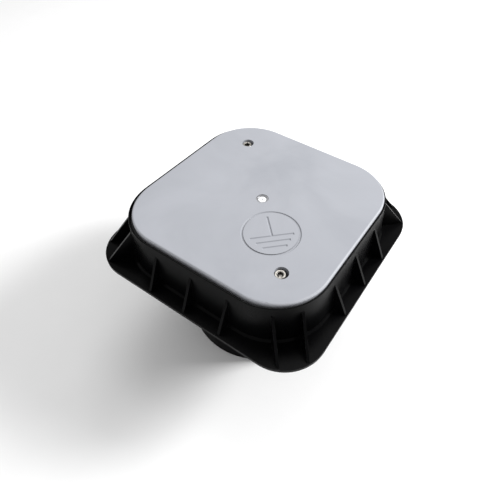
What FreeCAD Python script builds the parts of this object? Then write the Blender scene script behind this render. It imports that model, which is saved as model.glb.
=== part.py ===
import FreeCAD, Part
import math
import os
import re
import Sketcher

# Earth inspection pit cover: a cast lid with the protective-earth sign, screwed down in a moulded
# plastic frame with a wide ribbed flange, on a round neck that holds the earth test link.
#
# The frame of reference: +Z is up, the origin is the centre of the neck's bottom edge, and the ground
# frame's sides run along X and Y.  Millimetres throughout.

Vector = FreeCAD.Vector
Placement = FreeCAD.Placement
Rotation = FreeCAD.Rotation

doc = FreeCAD.newDocument("InspectionPitCover")

# ---------------------------------------------------------------------------------------------
# Driving dimensions
# ---------------------------------------------------------------------------------------------

SIZES = (
    ("lid_side", 200.0, "side of the square lid"),
    ("lid_corner", 50.0, "corner radius of the lid"),
    ("lid_thickness", 6.0, "plate thickness of the lid"),
    ("lid_rounding", 1.8, "rounding of the lid's top edge"),
    ("lid_proud", 3.0, "height of the lid's top above the frame's rim"),
    ("lid_offset_x", 0.8, "the lid lies over to one side of its loose recess, along X"),
    ("lid_offset_y", 0.5, "the same, along Y"),
    ("lid_rib_pitch", 60.0, "distance between the two stiffening ribs each way under the lid"),
    ("lid_rib_length", 150.0, "length of a stiffening rib"),
    ("lid_rib_width", 4.0, "width of a stiffening rib"),
    ("lid_rib_depth", 6.0, "depth of a stiffening rib"),
    ("locating_rib_outer", 89.0, "half side of the rib that centres the lid in the frame's opening"),
    ("locating_rib_inner", 86.0, "inner half side of that rib"),
    ("locating_rib_corner", 39.0, "outer corner radius of that rib"),
    ("locating_rib_depth", 4.0, "depth of that rib"),
    ("sign_centre", 45.2, "distance of the earth sign's centre from the lid's centre, on the diagonal"),
    ("sign_radius", 27.2, "outer radius of the ring round the sign"),
    ("sign_line", 2.4, "width of the sign's sunken lines"),
    ("sign_depth", 0.8, "depth of the sunken lines"),
    ("sign_draft", 40.0, "slope of the lines' sides, degrees from upright"),
    ("sign_stroke_start", 24.6, "start of the sign's long stroke, from the lid's centre"),
    ("sign_first_bar", 49.4, "centre line of the first bar, from the lid's centre"),
    ("sign_bar_pitch", 6.3, "distance between bars"),
    ("sign_first_bar_half", 20.0, "half length of the first bar"),
    ("sign_bar_step", 4.4, "how much shorter each next bar is, at each end"),
    ("screw_place", 64.0, "distance of a lid screw from both centre planes"),
    ("screw_radius", 3.0, "M6 screw shank radius"),
    ("screw_length", 25.0, "screw length under the head"),
    ("screw_head_radius", 5.0, "socket head radius"),
    ("screw_head_height", 6.0, "socket head height"),
    ("screw_socket_flats", 5.0, "hex socket, across flats"),
    ("screw_socket_depth", 3.0, "hex socket depth"),
    ("counterbore_radius", 6.3, "recess for a screw head in the lid"),
    ("counterbore_depth", 9.4, "depth of that recess"),
    ("screw_hole_radius", 4.5, "clearance hole for a screw in the lid"),
    ("screw_boss_radius", 11.0, "boss round a screw hole under the lid"),
    ("screw_boss_depth", 7.0, "depth of that boss below the plate"),
    ("washer_radius", 4.95, "radius of a lid screw's spring washer"),
    ("washer_hole", 3.1, "hole radius of that washer"),
    ("washer_thickness", 1.6, "thickness of that washer"),
    ("washer_split", 1.2, "width of that washer's split"),
    ("bush_radius", 6.0, "lifting bush radius"),
    ("bush_bore", 4.25, "lifting bush bore radius"),
    ("bush_sunk", 0.5, "how far the bush lies below the lid's top"),
    ("centre_boss_radius", 13.0, "boss round the lifting bush"),
    ("centre_boss_depth", 8.0, "depth of that boss below the plate"),
    ("plug_radius", 4.2, "lifting hole plug radius"),
    ("plug_length", 8.0, "plug length"),
    ("plug_sunk", 1.0, "how far the plug lies below the lid's top"),
    ("flange_side", 240.0, "side of the square ground flange"),
    ("flange_corner", 40.0, "corner radius of the flange"),
    ("flange_thickness", 3.0, "thickness of the flange"),
    ("neck_drop", 120.0, "length of neck below the flange"),
    ("frame_height", 46.0, "flange underside to rim top"),
    ("collar_foot", 105.6, "outer half side of the collar at the flange's underside"),
    ("collar_foot_corner", 55.8, "corner radius there"),
    ("collar_draft", 3.48, "draft of the collar, degrees"),
    ("wall", 3.0, "wall thickness of the frame"),
    ("recess_half", 101.6, "half side of the recess round the lid"),
    ("recess_corner", 51.6, "corner radius of the recess"),
    ("gasket_thickness", 2.0, "thickness of the gasket"),
    ("ledge_half", 92.0, "half side of the opening inside the ledge"),
    ("ledge_corner", 42.0, "corner radius of that opening"),
    ("rib_pitch", 39.0, "distance between the flange ribs along a side"),
    ("rib_thickness", 2.4, "thickness of a flange rib"),
    ("rib_start", 9.0, "depth of a rib's top below the rim"),
    ("rib_foot", 118.6, "distance of a side rib's foot from the centre plane"),
    ("corner_rib_offset", 12.5, "distance of a corner rib from the corner's diagonal"),
    ("corner_rib_root", 122.2, "distance of a corner rib's root from the axis, along the diagonal"),
    ("corner_rib_foot", 149.8, "distance of its foot from the axis, along the diagonal"),
    ("foot_slope", 1.8, "size of the small slope between collar and flange"),
    ("lug_gap", 0.4, "gap between a lug and the lid's boss above it"),
    ("lug_radius", 9.0, "radius of a screw lug"),
    ("lug_height", 22.0, "height of a screw lug"),
    ("lug_web", 14.0, "width of the web between lug and corner"),
    ("lug_web_depth", 10.0, "depth of that web"),
    ("lug_web_end", 121.5, "distance of the web's end from the axis"),
    ("insert_radius", 4.5, "threaded insert radius"),
    ("insert_length", 12.0, "threaded insert length"),
    ("insert_clearance", 0.06, "running clearance of a screw in its insert"),
    ("lug_bore", 3.6, "bore of a lug below the insert"),
    ("pipe_radius", 80.0, "outer radius of the neck"),
    ("pipe_wall", 4.0, "wall thickness of the neck"),
    ("pipe_chamfer", 2.0, "chamfer at the neck's ends"),
    ("spigot_turned", 0.8, "how far the neck's upper end is turned down"),
    ("spigot_shoulder", 2.0, "distance of the shoulder below the flange"),
    ("socket_clearance", 0.3, "clearance of the socket over the neck's turned end"),
    ("socket_lead_in", 1.2, "how much wider the socket's mouth is, all round"),
    ("socket_height", 31.0, "height of the socket above the flange's underside"),
    ("socket_wall", 4.0, "wall thickness of the socket"),
    ("stop_gap", 0.3, "gap between the neck's top and its stop"),
    ("stop_thickness", 2.7, "thickness of the stop that the neck's top meets"),
    ("seal_place", 13.0, "height of the seal's middle above the flange's underside"),
    ("seal_height", 6.0, "height of the seal groove"),
    ("seal_depth", 3.1, "depth of the seal groove"),
    ("seal_clearance", 0.1, "clearance round the seal in its groove"),
    ("seal_gap", 0.1, "gap between the seal's lip and the neck"),
    ("bead_width", 3.0, "how far the bead over the seal groove stands out"),
    ("bridge_width", 30.0, "width of the terminal bridge"),
    ("bridge_leg", 65.0, "inner half distance of the bridge's legs"),
    ("bridge_wall", 5.0, "thickness of the bridge's legs"),
    ("bridge_end", 94.0, "half length of the bridge"),
    ("bridge_flange", 4.0, "thickness of the bridge's end flanges"),
    ("bridge_deck", 8.0, "thickness of the bridge's deck"),
    ("bridge_bottom", 60.0, "height of the deck's underside above the neck's bottom"),
    ("bridge_screw_place", 88.0, "distance of a bridge screw from the axis"),
    ("bridge_boss_radius", 6.0, "radius of the boss under a bridge screw"),
    ("bridge_screw_radius", 2.5, "M5 bridge screw radius"),
    ("bridge_screw_length", 16.0, "bridge screw length under the head"),
    ("bridge_screw_head", 4.5, "pan head radius"),
    ("bridge_screw_head_height", 2.5, "pan head height"),
    ("stud_place", 22.0, "distance of a terminal stud from the axis"),
    ("stud_radius", 5.0, "M10 stud radius"),
    ("stud_length", 40.0, "stud length above its head"),
    ("stud_clearance", 0.1, "clearance round a stud"),
    ("hex_flats", 17.0, "M10 hexagon, across flats"),
    ("stud_head_height", 6.4, "stud head height"),
    ("stud_head_sunk", 3.0, "depth of the hexagonal recess for the head"),
    ("lock_nut_height", 5.0, "lock nut height"),
    ("link_gap", 0.1, "play above and below the link"),
    ("link_thickness", 5.0, "link thickness"),
    ("link_width", 25.0, "link width"),
    ("link_end", 34.0, "half length of the link"),
    ("slot_half", 5.3, "half width of the link's open slot"),
    ("link_washer_radius", 10.0, "link washer radius"),
    ("link_washer_thickness", 2.0, "link washer thickness"),
    ("spring_washer_radius", 8.5, "spring washer radius"),
    ("spring_washer_thickness", 2.2, "spring washer thickness"),
    ("spring_washer_split", 2.0, "width of the split in a spring washer"),
    ("top_nut_height", 8.0, "height of the nut on the link"),
)

sheet = doc.addObject("Spreadsheet::Sheet", "Sizes")
for row, (alias, number, meaning) in enumerate(SIZES, start=1):
    sheet.set(f"A{row}", alias)
    sheet.set(f"B{row}", str(number))
    sheet.set(f"C{row}", meaning)
    sheet.setAlias(f"B{row}", alias)
doc.recompute()

# Levels above the neck's bottom edge, as formulas in the sheet's words.
FLANGE_TOP = "neck_drop + flange_thickness"
RIM_TOP = "neck_drop + frame_height"
LID_TOP = f"{RIM_TOP} + lid_proud"
LID_BOTTOM = f"{LID_TOP} - lid_thickness"
LEDGE_TOP = f"{LID_BOTTOM} - gasket_thickness"
LEDGE_BOTTOM = f"{LEDGE_TOP} - wall"
LUG_TOP = f"{LID_BOTTOM} - screw_boss_depth - lug_gap"
WASHER_BOTTOM = f"{LID_TOP} - counterbore_depth"
HEAD_BOTTOM = f"{WASHER_BOTTOM} + washer_thickness"
SOCKET_TOP = "neck_drop + socket_height"
PIPE_TOP = f"{SOCKET_TOP} - stop_thickness - stop_gap"
SPIGOT_RADIUS = "pipe_radius - spigot_turned"
SOCKET_RADIUS = f"{SPIGOT_RADIUS} + socket_clearance"
STUD_HEAD_BOTTOM = "bridge_bottom + stud_head_sunk - stud_head_height"
LOCK_NUT_BOTTOM = "bridge_bottom + bridge_deck"
LINK_BOTTOM = f"{LOCK_NUT_BOTTOM} + lock_nut_height + link_gap"
LINK_WASHER_BOTTOM = f"{LINK_BOTTOM} + link_thickness + link_gap"
SPRING_WASHER_BOTTOM = f"{LINK_WASHER_BOTTOM} + link_washer_thickness"
TOP_NUT_BOTTOM = f"{SPRING_WASHER_BOTTOM} + spring_washer_thickness"


# ---------------------------------------------------------------------------------------------
# Helpers
# ---------------------------------------------------------------------------------------------

def formula(text):
    """'lid_side / 2' in the sheet's words becomes 'Sizes.lid_side / 2' for the expression engine."""
    return re.sub(r"[a-z]\w*", lambda word: "Sizes." + word.group(), str(text))


def value(text):
    """The number that a formula in the sheet's words stands for now."""
    return float(sheet.evalExpression(formula(text)))


def bind(thing, prop, text):
    thing.setExpression(prop, formula(text))


def place(thing, x="0", y="0", z="0"):
    for axis, text in zip("xyz", (x, y, z)):
        bind(thing, f"Placement.Base.{axis}", text)


def new_body(label):
    body = doc.addObject("PartDesign::Body", label)
    body.Label = label
    return body


def origin_feature(body, role):
    return next(item for item in body.Origin.OriginFeatures if item.Role == role)


def sketch_on(body, name, plane="XY_Plane", level="0", turn=0.0, swing=0.0):
    """A sketch on the body's own plane, turned in it or swung about its Y, then lifted along its normal."""
    sketch = body.newObject("Sketcher::SketchObject", name)
    sketch.AttachmentSupport = [(origin_feature(body, plane), "")]
    sketch.MapMode = "FlatFace"
    rotation = Rotation(Vector(0, 1, 0), swing).multiply(Rotation(Vector(0, 0, 1), turn))
    sketch.AttachmentOffset = Placement(Vector(), rotation)
    bind(sketch, "AttachmentOffset.Base.x", f"{math.sin(math.radians(swing)):.6f} * ({level})")
    bind(sketch, "AttachmentOffset.Base.z", f"{math.cos(math.radians(swing)):.6f} * ({level})")
    return sketch


def dimension(sketch, kind, picks, text):
    """A driving constraint whose value follows the sheet."""
    index = sketch.addConstraint(Sketcher.Constraint(kind, *picks, value(text)))
    sketch.setExpression(f"Constraints[{index}]", formula(text))


def circle(sketch, radius, x="0", y="0"):
    centre = Vector(value(x), value(y), 0)
    ring = sketch.addGeometry(Part.Circle(centre, Vector(0, 0, 1), value(radius)))
    dimension(sketch, "Radius", (ring,), radius)
    dimension(sketch, "DistanceX", (-1, 1, ring, 3), x)
    dimension(sketch, "DistanceY", (-1, 1, ring, 3), y)


def polygon(sketch, corners):
    """A closed outline; each corner is a pair of formulas."""
    points = [Vector(value(x), value(y), 0) for x, y in corners]
    first = sketch.GeometryCount
    count = len(points)
    for index, point in enumerate(points):
        sketch.addGeometry(Part.LineSegment(point, points[(index + 1) % count]))
    for index, (x, y) in enumerate(corners):
        line, following = first + index, first + (index + 1) % count
        sketch.addConstraint(Sketcher.Constraint("Coincident", line, 2, following, 1))
        dimension(sketch, "DistanceX", (-1, 1, line, 1), x)
        dimension(sketch, "DistanceY", (-1, 1, line, 1), y)


def rectangle(sketch, low_x, high_x, low_y, high_y):
    polygon(sketch, ((low_x, low_y), (high_x, low_y), (high_x, high_y), (low_x, high_y)))


def rounded_square(sketch, half, corner):
    """A square about the sketch's origin whose four corners are arcs."""
    side, radius = value(half), value(corner)
    inner = side - radius
    first = sketch.GeometryCount
    lines = (((-inner, -side), (inner, -side)), ((side, -inner), (side, inner)),
             ((inner, side), (-inner, side)), ((-side, inner), (-side, -inner)))
    for start, end in lines:
        sketch.addGeometry(Part.LineSegment(Vector(*start, 0), Vector(*end, 0)))
    for index, (right, up) in enumerate(((1, -1), (1, 1), (-1, 1), (-1, -1))):
        arc_circle = Part.Circle(Vector(right * inner, up * inner, 0), Vector(0, 0, 1), radius)
        start = math.radians(90 * index - 90)
        sketch.addGeometry(Part.ArcOfCircle(arc_circle, start, start + math.pi / 2))
    for index in range(4):
        line, arc, following = first + index, first + 4 + index, first + (index + 1) % 4
        straight = "Horizontal" if index % 2 == 0 else "Vertical"
        sketch.addConstraint(Sketcher.Constraint(straight, line))
        sketch.addConstraint(Sketcher.Constraint("Tangent", line, 2, arc, 1))
        sketch.addConstraint(Sketcher.Constraint("Tangent", arc, 2, following, 1))
        if index:
            sketch.addConstraint(Sketcher.Constraint("Equal", first + 4, arc))
    dimension(sketch, "Radius", (first + 4,), corner)
    dimension(sketch, "DistanceY", (first, 1, -1, 1), half)
    dimension(sketch, "DistanceX", (-1, 1, first + 1, 1), half)
    dimension(sketch, "DistanceY", (-1, 1, first + 2, 1), half)
    dimension(sketch, "DistanceX", (first + 3, 1, -1, 1), half)


def pad(body, sketch, length, reverse=False, midplane=False, draft=None):
    feature = body.newObject("PartDesign::Pad", sketch.Name + "_pad")
    feature.Profile = sketch
    feature.Reversed = reverse
    feature.Midplane = midplane
    bind(feature, "Length", length)
    if draft:
        bind(feature, "TaperAngle", f"-1 * {draft}")
    return feature


def pocket(body, sketch, length, reverse=False, draft=None):
    """A pocket cuts against the sketch's normal, or along it when reversed; it has to take metal away."""
    before = body.Tip
    feature = body.newObject("PartDesign::Pocket", sketch.Name + "_pocket")
    feature.Profile = sketch
    feature.Reversed = reverse
    bind(feature, "Length", length)
    if draft:
        bind(feature, "TaperAngle", f"-1 * {draft}")
    doc.recompute()
    if feature.Shape.Volume > before.Shape.Volume - 0.1:
        raise RuntimeError(f"{feature.Name} cuts nothing")
    return feature


def revolve(body, sketch, cutting=False):
    """Turn a profile about the body's Z axis, to add material or to cut a groove."""
    kind, ending = ("Groove", "_groove") if cutting else ("Revolution", "_turned")
    feature = body.newObject(f"PartDesign::{kind}", sketch.Name + ending)
    feature.Profile = sketch
    feature.ReferenceAxis = (sketch, ["V_Axis"])
    feature.Angle = 360
    return feature


def four_times(body, features, name):
    """Repeat features at the four quarter turns about Z."""
    pattern = body.newObject("PartDesign::PolarPattern", name)
    pattern.Originals = features
    pattern.Axis = (origin_feature(body, "Z_Axis"), [""])
    pattern.Angle = 360
    pattern.Occurrences = 4
    body.Tip = pattern
    return pattern


def fillet(body, name, radius, wanted):
    """Round the edges of the body's tip for which wanted(edge) is true."""
    doc.recompute()
    base = body.Tip
    edges = [f"Edge{number}" for number, edge in enumerate(base.Shape.Edges, start=1) if wanted(edge)]
    feature = body.newObject("PartDesign::Fillet", name)
    feature.Base = (base, edges)
    bind(feature, "Radius", radius)
    return feature


def level_edge(height):
    """A test for edges that lie flat at one height."""
    at = value(height)
    return lambda edge: abs(edge.BoundBox.ZMin - at) < 1e-4 and abs(edge.BoundBox.ZMax - at) < 1e-4


def cylinder(name, radius, height, x="0", y="0", z="0"):
    solid = doc.addObject("Part::Cylinder", name)
    bind(solid, "Radius", radius)
    bind(solid, "Height", height)
    place(solid, x, y, z)
    return solid


def box(name, length, width, height, x="0", y="0", z="0"):
    solid = doc.addObject("Part::Box", name)
    bind(solid, "Length", length)
    bind(solid, "Width", width)
    bind(solid, "Height", height)
    place(solid, x, y, z)
    return solid


def hexagon(name, flats, height, x="0", y="0", z="0"):
    solid = doc.addObject("Part::Prism", name)
    solid.Polygon = 6
    bind(solid, "Circumradius", f"{flats} / {math.sqrt(3):.6f}")
    bind(solid, "Height", height)
    place(solid, x, y, z)
    return solid


def fuse(name, solids):
    joined = doc.addObject("Part::MultiFuse", name)
    joined.Shapes = solids
    return joined


def cut(name, base, tool):
    result = doc.addObject("Part::Cut", name)
    result.Base = base
    result.Tool = tool
    return result


def finish(solid, label):
    solid.Label = label
    return solid


# ---------------------------------------------------------------------------------------------
# Lid: cast plate, lifting bush and plug
# ---------------------------------------------------------------------------------------------

DIAGONAL = ((-1, 1), (1, -1))       # the far and the near lid screw, as signs of x and y


def signed(sign, text):
    return text if sign > 0 else f"-1 * ({text})"


def make_lid_plate():
    """The lid's own origin is the middle of its underside; it is placed on the gasket."""
    body = new_body("lid_plate")
    outline = sketch_on(body, "lid_outline")
    rounded_square(outline, "lid_side / 2", "lid_corner")
    pad(body, outline, "lid_thickness")
    fillet(body, "lid_edge_rounding", "lid_rounding", level_edge("lid_thickness"))

    for across, name in ((False, "ribs_along_x"), (True, "ribs_along_y")):
        ribs = sketch_on(body, "lid_" + name, turn=90.0 if across else 0.0)
        for side in (-1, 1):
            middle = signed(side, "lid_rib_pitch / 2")
            rectangle(ribs, "-1 * lid_rib_length / 2", "lid_rib_length / 2",
                      f"{middle} - lid_rib_width / 2", f"{middle} + lid_rib_width / 2")
        pad(body, ribs, "lid_rib_depth", reverse=True)

    locating = sketch_on(body, "locating_rib")
    rounded_square(locating, "locating_rib_outer", "locating_rib_corner")
    rounded_square(locating, "locating_rib_inner",
                   "locating_rib_corner - locating_rib_outer + locating_rib_inner")
    pad(body, locating, "locating_rib_depth", reverse=True)

    bosses = sketch_on(body, "screw_bosses")
    for right, up in DIAGONAL:
        circle(bosses, "screw_boss_radius", signed(right, "screw_place"), signed(up, "screw_place"))
    pad(body, bosses, "screw_boss_depth", reverse=True)
    centre_boss = sketch_on(body, "centre_boss")
    circle(centre_boss, "centre_boss_radius")
    pad(body, centre_boss, "centre_boss_depth", reverse=True)

    recesses = sketch_on(body, "screw_recesses", level="lid_thickness")
    holes = sketch_on(body, "screw_holes", level="lid_thickness")
    for right, up in DIAGONAL:
        spot = (signed(right, "screw_place"), signed(up, "screw_place"))
        circle(recesses, "counterbore_radius", *spot)
        circle(holes, "screw_hole_radius", *spot)
    pocket(body, recesses, "counterbore_depth")
    pocket(body, holes, "lid_thickness + screw_boss_depth")
    centre_hole = sketch_on(body, "lifting_hole", level="lid_thickness")
    circle(centre_hole, "bush_radius")
    pocket(body, centre_hole, "lid_thickness + centre_boss_depth")

    # The sunken sign: its sketches have x along the lid's diagonal, from the centre to the near screw.
    ring = sketch_on(body, "sign_ring", level="lid_thickness", turn=-45.0)
    circle(ring, "sign_radius", "sign_centre")
    circle(ring, "sign_radius - sign_line", "sign_centre")
    pocket(body, ring, "sign_depth", draft="sign_draft")
    bars = sketch_on(body, "sign_bars", level="lid_thickness", turn=-45.0)
    for number in range(3):
        middle = f"sign_first_bar + {number} * sign_bar_pitch"
        half = f"(sign_first_bar_half - {number} * sign_bar_step)"
        rectangle(bars, f"{middle} - sign_line / 2", f"{middle} + sign_line / 2", f"-1 * {half}", half)
    pocket(body, bars, "sign_depth", draft="sign_draft")
    stroke = sketch_on(body, "sign_stroke", level="lid_thickness", turn=-45.0)
    rectangle(stroke, "sign_stroke_start", "sign_first_bar", "-1 * sign_line / 2", "sign_line / 2")
    pocket(body, stroke, "sign_depth", draft="sign_draft")
    place(body, "lid_offset_x", "lid_offset_y", LID_BOTTOM)
    return body


def make_lifting_bush():
    """A plain steel bush pressed into the lid, threaded inside for a lifting eye."""
    body = new_body("lifting_bush")
    profile = sketch_on(body, "bush_profile", plane="XZ_Plane")
    top, bottom = "lid_thickness - bush_sunk", "-1 * centre_boss_depth"
    polygon(profile, (("bush_bore", bottom), ("bush_radius - 0.5", bottom), ("bush_radius", f"{bottom} + 0.5"),
                      ("bush_radius", f"{top} - 0.3"), ("bush_radius - 0.3", top),
                      ("bush_bore + 0.4", top), ("bush_bore", f"{top} - 0.4")))
    revolve(body, profile)
    place(body, "lid_offset_x", "lid_offset_y", LID_BOTTOM)
    return body


def make_lifting_plug():
    """A white cap pushed into the bush: hollow from below, with a small dimple to pick it out by."""
    body = new_body("lifting_plug")
    profile = sketch_on(body, "plug_profile", plane="XZ_Plane")
    top = "lid_thickness - plug_sunk"
    bottom = f"{top} - plug_length"
    polygon(profile, (("plug_radius - 1.2", bottom), ("plug_radius - 0.3", bottom),
                      ("plug_radius", f"{bottom} + 0.6"), ("plug_radius", f"{top} - 0.4"),
                      ("plug_radius - 0.4", top), ("1.1", top), ("0.8", f"{top} - 0.8"),
                      ("0", f"{top} - 0.8"), ("0", f"{top} - 2.4"), ("plug_radius - 1.2", f"{top} - 2.4")))
    revolve(body, profile)
    place(body, "lid_offset_x", "lid_offset_y", LID_BOTTOM)
    return body


# ---------------------------------------------------------------------------------------------
# Frame: rim, collar, flange, ribs, lugs and the socket for the neck, moulded in one piece
# ---------------------------------------------------------------------------------------------

def make_frame_body():
    body = new_body("frame_body")
    plate = sketch_on(body, "flange_plate", level="neck_drop")
    rounded_square(plate, "flange_side / 2", "flange_corner")
    pad(body, plate, "flange_thickness")
    collar = sketch_on(body, "collar_outline", level="neck_drop")
    rounded_square(collar, "collar_foot", "collar_foot_corner")
    pad(body, collar, "frame_height", draft="collar_draft")
    fillet(body, "rim_rounding", "0.5", level_edge(RIM_TOP))
    foot = sketch_on(body, "collar_foot_slope", level=FLANGE_TOP)
    rounded_square(foot, "collar_foot + foot_slope - 0.2", "collar_foot_corner + foot_slope - 0.2")
    pad(body, foot, "foot_slope", draft="45")

    recess = sketch_on(body, "lid_recess", level=RIM_TOP)
    rounded_square(recess, "recess_half", "recess_corner")
    pocket(body, recess, f"{RIM_TOP} - ({LEDGE_TOP})")
    opening = sketch_on(body, "ledge_opening", level=LEDGE_TOP)
    rounded_square(opening, "ledge_half", "ledge_corner")
    pocket(body, opening, "wall")
    hollow = sketch_on(body, "collar_hollow", level=FLANGE_TOP)
    rounded_square(hollow, "collar_foot - wall", "collar_foot_corner - wall")
    pocket(body, hollow, f"{LEDGE_BOTTOM} - ({FLANGE_TOP})", reverse=True, draft="collar_draft")

    ribs = []
    for place_name, number in (("low", -1), ("middle", 0), ("high", 1)):
        rib = sketch_on(body, f"side_rib_{place_name}", plane="XZ_Plane", level=f"{number} * rib_pitch")
        root = "collar_foot - wall"
        polygon(rib, ((root, "neck_drop + 1"), ("rib_foot", "neck_drop + 1"), ("rib_foot", FLANGE_TOP),
                      ("collar_foot - wall + 0.6", f"{RIM_TOP} - rib_start"),
                      (root, f"{RIM_TOP} - rib_start")))
        ribs.append(pad(body, rib, "rib_thickness", midplane=True))
    for place_name, side in (("left", -1), ("right", 1)):
        rib = sketch_on(body, f"corner_rib_{place_name}", plane="XZ_Plane", swing=45.0,
                        level=f"{side} * corner_rib_offset")
        root = "corner_rib_root"
        polygon(rib, ((root, "neck_drop + 1"), ("corner_rib_foot", "neck_drop + 1"),
                      ("corner_rib_foot", FLANGE_TOP), (f"{root} + 0.6", f"{RIM_TOP} - rib_start"),
                      (root, f"{RIM_TOP} - rib_start")))
        ribs.append(pad(body, rib, "rib_thickness", midplane=True))
    four_times(body, ribs, "ribs_all_round")

    # Lugs for the lid screws reach in from two corners; their sketches have x along the diagonal.
    for name, turn in (("far", 135.0), ("near", -45.0)):
        reach = f"screw_place * {math.sqrt(2):.6f}"
        boss = sketch_on(body, f"{name}_lug_boss", level=LUG_TOP, turn=turn)
        circle(boss, "lug_radius", reach)
        pad(body, boss, "lug_height", reverse=True)
        web = sketch_on(body, f"{name}_lug_web", level=LUG_TOP, turn=turn)
        rectangle(web, reach, "lug_web_end", "-1 * lug_web / 2", "lug_web / 2")
        pad(body, web, "lug_web_depth", reverse=True)
        root = sketch_on(body, f"{name}_lug_root", level=LEDGE_BOTTOM, turn=turn)
        rectangle(root, "lug_web_end - wall - 6", "lug_web_end", "-1 * lug_web / 2", "lug_web / 2")
        pad(body, root, "lug_web_depth", reverse=True)
        seat = sketch_on(body, f"{name}_insert_seat", level=LUG_TOP, turn=turn)
        circle(seat, "insert_radius", reach)
        pocket(body, seat, "insert_length")
        bore = sketch_on(body, f"{name}_lug_bore", level=LUG_TOP, turn=turn)
        circle(bore, "lug_bore", reach)
        pocket(body, bore, "lug_height")

    # Bosses for the bridge screws stand on the floor, one each side of the socket.
    bosses = sketch_on(body, "bridge_bosses", level="neck_drop")
    for side in (-1, 1):
        circle(bosses, "bridge_boss_radius", signed(side, "bridge_screw_place"))
    pad(body, bosses, "socket_height")

    # The socket: its hole through the floor comes first, then the turned ring with its stop, and then
    # the seal groove and the cone that leads the neck in.
    hole = sketch_on(body, "socket_hole", level=SOCKET_TOP)
    circle(hole, SOCKET_RADIUS)
    pocket(body, hole, "socket_height")
    ring = sketch_on(body, "socket_ring", plane="XZ_Plane")
    inner = SOCKET_RADIUS
    outer = f"{inner} + socket_wall"
    bead = f"{outer} + bead_width"
    seal_low = "neck_drop + seal_place - seal_height / 2"
    seal_high = "neck_drop + seal_place + seal_height / 2"
    polygon(ring, ((inner, "neck_drop"), (outer, "neck_drop"), (outer, f"{seal_low} - 5"),
                   (bead, f"{seal_low} - 2"), (bead, f"{seal_high} + 2"), (outer, f"{seal_high} + 5"),
                   (outer, SOCKET_TOP), ("pipe_radius - pipe_wall + 0.5", SOCKET_TOP),
                   ("pipe_radius - pipe_wall + 0.5", f"{SOCKET_TOP} - stop_thickness"),
                   (inner, f"{SOCKET_TOP} - stop_thickness")))
    revolve(body, ring)
    groove = sketch_on(body, "seal_groove", plane="XZ_Plane")
    rectangle(groove, f"{inner} - 1", f"{inner} + seal_depth", seal_low, seal_high)
    mouth_end = "neck_drop + 2 * socket_lead_in"
    polygon(groove, ((f"{inner} - 1", "neck_drop"), (f"{inner} + socket_lead_in", "neck_drop"),
                     (inner, mouth_end), (f"{inner} - 1", mouth_end)))
    revolve(body, groove, cutting=True)

    screw_holes = sketch_on(body, "bridge_screw_holes", level=SOCKET_TOP)
    for side in (-1, 1):
        circle(screw_holes, "bridge_screw_radius", signed(side, "bridge_screw_place"))
    pocket(body, screw_holes, "bridge_screw_length - bridge_flange + 2")
    return body


def make_lid_gasket():
    """A flat seal strip that lies on the ledge, all the way round."""
    body = new_body("lid_gasket")
    strip = sketch_on(body, "gasket_strip")
    rounded_square(strip, "recess_half - 1", "recess_corner - 1")
    rounded_square(strip, "ledge_half + 2", "ledge_corner + 2")
    pad(body, strip, "gasket_thickness")
    place(body, z=LEDGE_TOP)
    return body


def make_neck_pipe():
    """A pipe whose turned-down upper end is pushed into the frame's socket as far as its stop."""
    body = new_body("neck_pipe")
    profile = sketch_on(body, "pipe_profile", plane="XZ_Plane")
    inner = "pipe_radius - pipe_wall"
    shoulder = "neck_drop - spigot_shoulder"
    polygon(profile, ((inner, "0"), ("pipe_radius - pipe_chamfer", "0"), ("pipe_radius", "pipe_chamfer"),
                      ("pipe_radius", shoulder), (SPIGOT_RADIUS, f"{shoulder} + spigot_turned"),
                      (SPIGOT_RADIUS, f"{PIPE_TOP} - 2 * pipe_chamfer"),
                      (f"{SPIGOT_RADIUS} - pipe_chamfer / 2", PIPE_TOP), (inner, PIPE_TOP)))
    revolve(body, profile)
    return body


def make_neck_seal():
    """A lip seal in the socket's groove: a flat back and a crowned front that meets the neck."""
    body = new_body("neck_seal")
    profile = sketch_on(body, "seal_profile", plane="XZ_Plane")
    low = "-1 * seal_height / 2 + seal_clearance"
    high = "seal_height / 2 - seal_clearance"
    back = f"{SOCKET_RADIUS} + seal_depth - seal_clearance"
    front = f"{SPIGOT_RADIUS} + seal_gap"
    polygon(profile, ((back, low), (back, high), (f"{front} + 1.2", high), (front, "0.8"),
                      (front, "-0.8"), (f"{front} + 1.2", low)))
    revolve(body, profile)
    place(body, z="neck_drop + seal_place")
    return body


# ---------------------------------------------------------------------------------------------
# Lid screws, their washers and inserts
# ---------------------------------------------------------------------------------------------

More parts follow.
